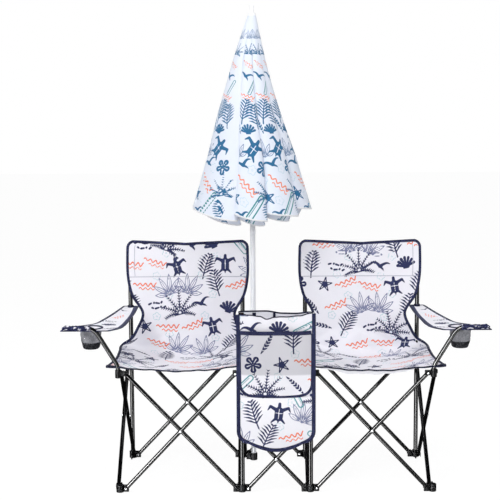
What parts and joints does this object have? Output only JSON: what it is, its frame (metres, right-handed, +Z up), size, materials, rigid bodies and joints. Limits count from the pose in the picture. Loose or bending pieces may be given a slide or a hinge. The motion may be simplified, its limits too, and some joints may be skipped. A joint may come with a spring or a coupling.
{
  "type": "folding camping loveseat",
  "caption": "Two folding sling chairs joined side by side on one frame of crossed bars, with arm rests and cup holders, an organiser bag between them and a closed umbrella on a pole behind it.",
  "frame": {"origin": "middle of the bounding box's footprint, on the ground", "axes": "+Z up, -Y towards the sitters' front, +X towards the right chair as seen from the front"},
  "size_m": [1.47, 0.6242, 1.701],
  "materials": {
    "steel": "satin black",
    "nylon": "moulded, slightly grained",
    "cloth": "woven polyester, pale, printed",
    "net": "fine grey mesh",
    "pole": "white enamel",
    "canopy": "thin woven polyester, pale, printed"
  },
  "bodies": {
    "main_post": {"post_rear_inner_left": "steel", "foot_rear_inner_left": "nylon", "sling_left": "cloth"},
    "rear_left_riveted": {"bar_rear_left_riveted": "steel"},
    "rear_left_plain": {"bar_rear_left_plain": "steel"},
    "rear_outer_left_post": {"post_rear_outer_left": "steel", "foot_rear_outer_left": "nylon"},
    "rear_outer_left_hub": {"hub_rear_outer_left": "nylon"},
    "rear_inner_left_hub": {"hub_rear_inner_left": "nylon"},
    "rear_middle_riveted": {"bar_rear_middle_riveted": "steel"},
    "rear_middle_plain": {"bar_rear_middle_plain": "steel"},
    "rear_inner_right_post": {"post_rear_inner_right": "steel", "foot_rear_inner_right": "nylon", "sling_right": "cloth"},
    "rear_inner_right_slider": {"slider_rear_inner_right": "nylon"},
    "rear_inner_left_slider": {"slider_rear_inner_left": "nylon"},
    "rear_right_plain": {"bar_rear_right_plain": "steel"},
    "rear_right_riveted": {"bar_rear_right_riveted": "steel"},
    "rear_outer_right_post": {"post_rear_outer_right": "steel", "foot_rear_outer_right": "nylon"},
    "rear_outer_right_hub": {"hub_rear_outer_right": "nylon"},
    "rear_inner_right_hub": {"hub_rear_inner_right": "nylon"},
    "side_outer_left_plain": {"bar_side_outer_left_plain": "steel"},
    "side_outer_left_riveted": {"bar_side_outer_left_riveted": "steel"},
    "front_outer_left_foot": {"foot_front_outer_left": "nylon"},
    "front_outer_left_hub": {"hub_front_outer_left": "nylon", "arm_tube_left": "steel", "cup_holder_left": "net", "arm_rest_left": "cloth"},
    "side_inner_left_riveted": {"bar_side_inner_left_riveted": "steel"},
    "side_inner_left_plain": {"bar_side_inner_left_plain": "steel"},
    "front_inner_left_post": {"post_front_inner_left": "steel", "foot_front_inner_left": "nylon", "organiser_bag": "cloth", "pocket_upper": "net", "pocket_lower": "cloth"},
    "front_inner_left_hub": {"hub_front_inner_left": "nylon"},
    "side_inner_right_plain": {"bar_side_inner_right_plain": "steel"},
    "side_inner_right_riveted": {"bar_side_inner_right_riveted": "steel"},
    "front_inner_right_post": {"post_front_inner_right": "steel", "foot_front_inner_right": "nylon"},
    "front_inner_right_hub": {"hub_front_inner_right": "nylon"},
    "side_outer_right_riveted": {"bar_side_outer_right_riveted": "steel"},
    "side_outer_right_plain": {"bar_side_outer_right_plain": "steel"},
    "front_outer_right_foot": {"foot_front_outer_right": "nylon"},
    "front_outer_right_hub": {"hub_front_outer_right": "nylon", "arm_tube_right": "steel", "cup_holder_right": "net", "arm_rest_right": "cloth"},
    "front_left_plain": {"bar_front_left_plain": "steel"},
    "front_left_riveted": {"bar_front_left_riveted": "steel"},
    "front_middle_riveted": {"bar_front_middle_riveted": "steel"},
    "front_middle_plain": {"bar_front_middle_plain": "steel"},
    "front_inner_right_slider": {"slider_front_inner_right": "nylon"},
    "front_inner_left_slider": {"slider_front_inner_left": "nylon"},
    "front_right_riveted": {"bar_front_right_riveted": "steel"},
    "front_right_plain": {"bar_front_right_plain": "steel"},
    "umbrella_lower": {"umbrella_pole_lower": "pole"},
    "umbrella_upper": {"umbrella_pole_upper": "pole", "umbrella_canopy": "canopy"}
  },
  "joints": [
    {"name": "fold", "type": "hinge", "parent": "main_post", "child": "rear_left_riveted", "pos_m": [-0.1395, 0.14929, 0.015], "axis": [0, 1, 0], "range_deg": [0, 33], "deforming": ["sling_left", "sling_right", "arm_rest_left", "arm_rest_right", "organiser_bag", "pocket_upper", "pocket_lower"]},
    {"name": "rear_left_cross", "type": "hinge", "parent": "rear_left_riveted", "child": "rear_left_plain", "pos_m": [-0.3295, 0.14929, 0.216], "axis": [0, 1, 0], "range_deg": [-66, 0]},
    {"name": "rear_left_foot", "type": "hinge", "parent": "rear_left_plain", "child": "rear_outer_left_post", "pos_m": [-0.5195, 0.14929, 0.015], "axis": [0, 1, 0], "range_deg": [0, 33]},
    {"name": "rear_outer_left_top", "type": "hinge", "parent": "rear_left_riveted", "child": "rear_outer_left_hub", "pos_m": [-0.5195, 0.14929, 0.417], "axis": [0, 1, 0], "range_deg": [-33, 0]},
    {"name": "rear_inner_left_top", "type": "hinge", "parent": "rear_left_plain", "child": "rear_inner_left_hub", "pos_m": [-0.1395, 0.14929, 0.417], "axis": [0, 1, 0], "range_deg": [0, 33]},
    {"name": "rear_middle_left_foot", "type": "hinge", "parent": "main_post", "child": "rear_middle_riveted", "pos_m": [-0.0965, 0.14929, 0.015], "axis": [0, 1, 0], "range_deg": [-33, 0]},
    {"name": "rear_middle_cross", "type": "hinge", "parent": "rear_middle_riveted", "child": "rear_middle_plain", "pos_m": [0, 0.14929, 0.11709], "axis": [0, 1, 0], "range_deg": [0, 66]},
    {"name": "rear_middle_right_foot", "type": "hinge", "parent": "rear_middle_plain", "child": "rear_inner_right_post", "pos_m": [0.0965, 0.14929, 0.015], "axis": [0, 1, 0], "range_deg": [-33, 0]},
    {"name": "rear_middle_right_top", "type": "hinge", "parent": "rear_middle_riveted", "child": "rear_inner_right_slider", "pos_m": [0.0965, 0.14929, 0.21917], "axis": [0, 1, 0], "range_deg": [0, 33]},
    {"name": "rear_middle_left_top", "type": "hinge", "parent": "rear_middle_plain", "child": "rear_inner_left_slider", "pos_m": [-0.0965, 0.14929, 0.21917], "axis": [0, 1, 0], "range_deg": [-33, 0]},
    {"name": "rear_right_inner_foot", "type": "hinge", "parent": "rear_inner_right_post", "child": "rear_right_plain", "pos_m": [0.1395, 0.14929, 0.015], "axis": [0, 1, 0], "range_deg": [-33, 0]},
    {"name": "rear_right_cross", "type": "hinge", "parent": "rear_right_plain", "child": "rear_right_riveted", "pos_m": [0.3295, 0.14929, 0.216], "axis": [0, 1, 0], "range_deg": [0, 66]},
    {"name": "rear_right_outer_foot", "type": "hinge", "parent": "rear_right_riveted", "child": "rear_outer_right_post", "pos_m": [0.5195, 0.14929, 0.015], "axis": [0, 1, 0], "range_deg": [-33, 0]},
    {"name": "rear_outer_right_top", "type": "hinge", "parent": "rear_right_plain", "child": "rear_outer_right_hub", "pos_m": [0.5195, 0.14929, 0.417], "axis": [0, 1, 0], "range_deg": [0, 33]},
    {"name": "rear_inner_right_top", "type": "hinge", "parent": "rear_right_riveted", "child": "rear_inner_right_hub", "pos_m": [0.1395, 0.14929, 0.417], "axis": [0, 1, 0], "range_deg": [-33, 0]},
    {"name": "side_outer_left_rear_foot", "type": "hinge", "parent": "rear_outer_left_post", "child": "side_outer_left_plain", "pos_m": [-0.541, 0.12779, 0.015], "axis": [1, 0, 0], "range_deg": [-33, 0]},
    {"name": "side_outer_left_cross", "type": "hinge", "parent": "side_outer_left_plain", "child": "side_outer_left_riveted", "pos_m": [-0.541, -0.06221, 0.216], "axis": [1, 0, 0], "range_deg": [0, 66]},
    {"name": "side_outer_left_front_foot", "type": "hinge", "parent": "side_outer_left_riveted", "child": "front_outer_left_foot", "pos_m": [-0.541, -0.25221, 0.015], "axis": [1, 0, 0], "range_deg": [-33, 0]},
    {"name": "front_outer_left_top", "type": "hinge", "parent": "side_outer_left_plain", "child": "front_outer_left_hub", "pos_m": [-0.541, -0.25221, 0.417], "axis": [1, 0, 0], "range_deg": [0, 33]},
    {"name": "side_inner_left_rear_foot", "type": "hinge", "parent": "main_post", "child": "side_inner_left_riveted", "pos_m": [-0.118, 0.12779, 0.015], "axis": [1, 0, 0], "range_deg": [-33, 0]},
    {"name": "side_inner_left_cross", "type": "hinge", "parent": "side_inner_left_riveted", "child": "side_inner_left_plain", "pos_m": [-0.118, -0.06221, 0.216], "axis": [1, 0, 0], "range_deg": [0, 66]},
    {"name": "side_inner_left_front_foot", "type": "hinge", "parent": "side_inner_left_plain", "child": "front_inner_left_post", "pos_m": [-0.118, -0.25221, 0.015], "axis": [1, 0, 0], "range_deg": [-33, 0]},
    {"name": "front_inner_left_top", "type": "hinge", "parent": "side_inner_left_riveted", "child": "front_inner_left_hub", "pos_m": [-0.118, -0.25221, 0.417], "axis": [1, 0, 0], "range_deg": [0, 33]},
    {"name": "side_inner_right_rear_foot", "type": "hinge", "parent": "rear_inner_right_post", "child": "side_inner_right_plain", "pos_m": [0.118, 0.12779, 0.015], "axis": [1, 0, 0], "range_deg": [-33, 0]},
    {"name": "side_inner_right_cross", "type": "hinge", "parent": "side_inner_right_plain", "child": "side_inner_right_riveted", "pos_m": [0.118, -0.06221, 0.216], "axis": [1, 0, 0], "range_deg": [0, 66]},
    {"name": "side_inner_right_front_foot", "type": "hinge", "parent": "side_inner_right_riveted", "child": "front_inner_right_post", "pos_m": [0.118, -0.25221, 0.015], "axis": [1, 0, 0], "range_deg": [-33, 0]},
    {"name": "front_inner_right_top", "type": "hinge", "parent": "side_inner_right_plain", "child": "front_inner_right_hub", "pos_m": [0.118, -0.25221, 0.417], "axis": [1, 0, 0], "range_deg": [0, 33]},
    {"name": "side_outer_right_rear_foot", "type": "hinge", "parent": "rear_outer_right_post", "child": "side_outer_right_riveted", "pos_m": [0.541, 0.12779, 0.015], "axis": [1, 0, 0], "range_deg": [-33, 0]},
    {"name": "side_outer_right_cross", "type": "hinge", "parent": "side_outer_right_riveted", "child": "side_outer_right_plain", "pos_m": [0.541, -0.06221, 0.216], "axis": [1, 0, 0], "range_deg": [0, 66]},
    {"name": "side_outer_right_front_foot", "type": "hinge", "parent": "side_outer_right_plain", "child": "front_outer_right_foot", "pos_m": [0.541, -0.25221, 0.015], "axis": [1, 0, 0], "range_deg": [-33, 0]},
    {"name": "front_outer_right_top", "type": "hinge", "parent": "side_outer_right_riveted", "child": "front_outer_right_hub", "pos_m": [0.541, -0.25221, 0.417], "axis": [1, 0, 0], "range_deg": [0, 33]},
    {"name": "front_left_inner_foot", "type": "hinge", "parent": "front_inner_left_post", "child": "front_left_plain", "pos_m": [-0.1395, -0.27371, 0.015], "axis": [0, 1, 0], "range_deg": [0, 33]},
    {"name": "front_left_cross", "type": "hinge", "parent": "front_left_plain", "child": "front_left_riveted", "pos_m": [-0.3295, -0.27371, 0.216], "axis": [0, 1, 0], "range_deg": [-66, 0]},
    {"name": "front_middle_left_foot", "type": "hinge", "parent": "front_inner_left_post", "child": "front_middle_riveted", "pos_m": [-0.0965, -0.27371, 0.015], "axis": [0, 1, 0], "range_deg": [-33, 0]},
    {"name": "front_middle_cross", "type": "hinge", "parent": "front_middle_riveted", "child": "front_middle_plain", "pos_m": [0, -0.27371, 0.11709], "axis": [0, 1, 0], "range_deg": [0, 66]},
    {"name": "front_middle_right_top", "type": "hinge", "parent": "front_middle_riveted", "child": "front_inner_right_slider", "pos_m": [0.0965, -0.27371, 0.21917], "axis": [0, 1, 0], "range_deg": [0, 33]},
    {"name": "front_middle_left_top", "type": "hinge", "parent": "front_middle_plain", "child": "front_inner_left_slider", "pos_m": [-0.0965, -0.27371, 0.21917], "axis": [0, 1, 0], "range_deg": [-33, 0]},
    {"name": "front_right_inner_foot", "type": "hinge", "parent": "front_inner_right_post", "child": "front_right_riveted", "pos_m": [0.1395, -0.27371, 0.015], "axis": [0, 1, 0], "range_deg": [-33, 0]},
    {"name": "front_right_cross", "type": "hinge", "parent": "front_right_riveted", "child": "front_right_plain", "pos_m": [0.3295, -0.27371, 0.216], "axis": [0, 1, 0], "range_deg": [0, 66]},
    {"name": "umbrella_lift", "type": "slide", "parent": "main_post", "child": "umbrella_lower", "axis": [0, 0, 1], "range_m": [0, 0.45]},
    {"name": "umbrella_turn", "type": "hinge", "parent": "umbrella_lower", "child": "umbrella_upper", "pos_m": [-0.078, 0.11579, 0.86], "axis": [0, 0, 1], "continuous": true}
  ],
  "couplings": [
    {"joint": "rear_left_cross", "follows": "fold", "ratio": -2},
    {"joint": "rear_left_foot", "follows": "fold", "ratio": 1},
    {"joint": "rear_outer_left_top", "follows": "fold", "ratio": -1},
    {"joint": "rear_inner_left_top", "follows": "fold", "ratio": 1},
    {"joint": "rear_middle_left_foot", "follows": "fold", "ratio": -1},
    {"joint": "rear_middle_cross", "follows": "fold", "ratio": 2},
    {"joint": "rear_middle_right_foot", "follows": "fold", "ratio": -1},
    {"joint": "rear_middle_right_top", "follows": "fold", "ratio": 1},
    {"joint": "rear_middle_left_top", "follows": "fold", "ratio": -1},
    {"joint": "rear_right_inner_foot", "follows": "fold", "ratio": -1},
    {"joint": "rear_right_cross", "follows": "fold", "ratio": 2},
    {"joint": "rear_right_outer_foot", "follows": "fold", "ratio": -1},
    {"joint": "rear_outer_right_top", "follows": "fold", "ratio": 1},
    {"joint": "rear_inner_right_top", "follows": "fold", "ratio": -1},
    {"joint": "side_outer_left_rear_foot", "follows": "fold", "ratio": -1},
    {"joint": "side_outer_left_cross", "follows": "fold", "ratio": 2},
    {"joint": "side_outer_left_front_foot", "follows": "fold", "ratio": -1},
    {"joint": "front_outer_left_top", "follows": "fold", "ratio": 1},
    {"joint": "side_inner_left_rear_foot", "follows": "fold", "ratio": -1},
    {"joint": "side_inner_left_cross", "follows": "fold", "ratio": 2},
    {"joint": "side_inner_left_front_foot", "follows": "fold", "ratio": -1},
    {"joint": "front_inner_left_top", "follows": "fold", "ratio": 1},
    {"joint": "side_inner_right_rear_foot", "follows": "fold", "ratio": -1},
    {"joint": "side_inner_right_cross", "follows": "fold", "ratio": 2},
    {"joint": "side_inner_right_front_foot", "follows": "fold", "ratio": -1},
    {"joint": "front_inner_right_top", "follows": "fold", "ratio": 1},
    {"joint": "side_outer_right_rear_foot", "follows": "fold", "ratio": -1},
    {"joint": "side_outer_right_cross", "follows": "fold", "ratio": 2},
    {"joint": "side_outer_right_front_foot", "follows": "fold", "ratio": -1},
    {"joint": "front_outer_right_top", "follows": "fold", "ratio": 1},
    {"joint": "front_left_inner_foot", "follows": "fold", "ratio": 1},
    {"joint": "front_left_cross", "follows": "fold", "ratio": -2},
    {"joint": "front_middle_left_foot", "follows": "fold", "ratio": -1},
    {"joint": "front_middle_cross", "follows": "fold", "ratio": 2},
    {"joint": "front_middle_right_top", "follows": "fold", "ratio": 1},
    {"joint": "front_middle_left_top", "follows": "fold", "ratio": -1},
    {"joint": "front_right_inner_foot", "follows": "fold", "ratio": -1},
    {"joint": "front_right_cross", "follows": "fold", "ratio": 2}
  ]
}
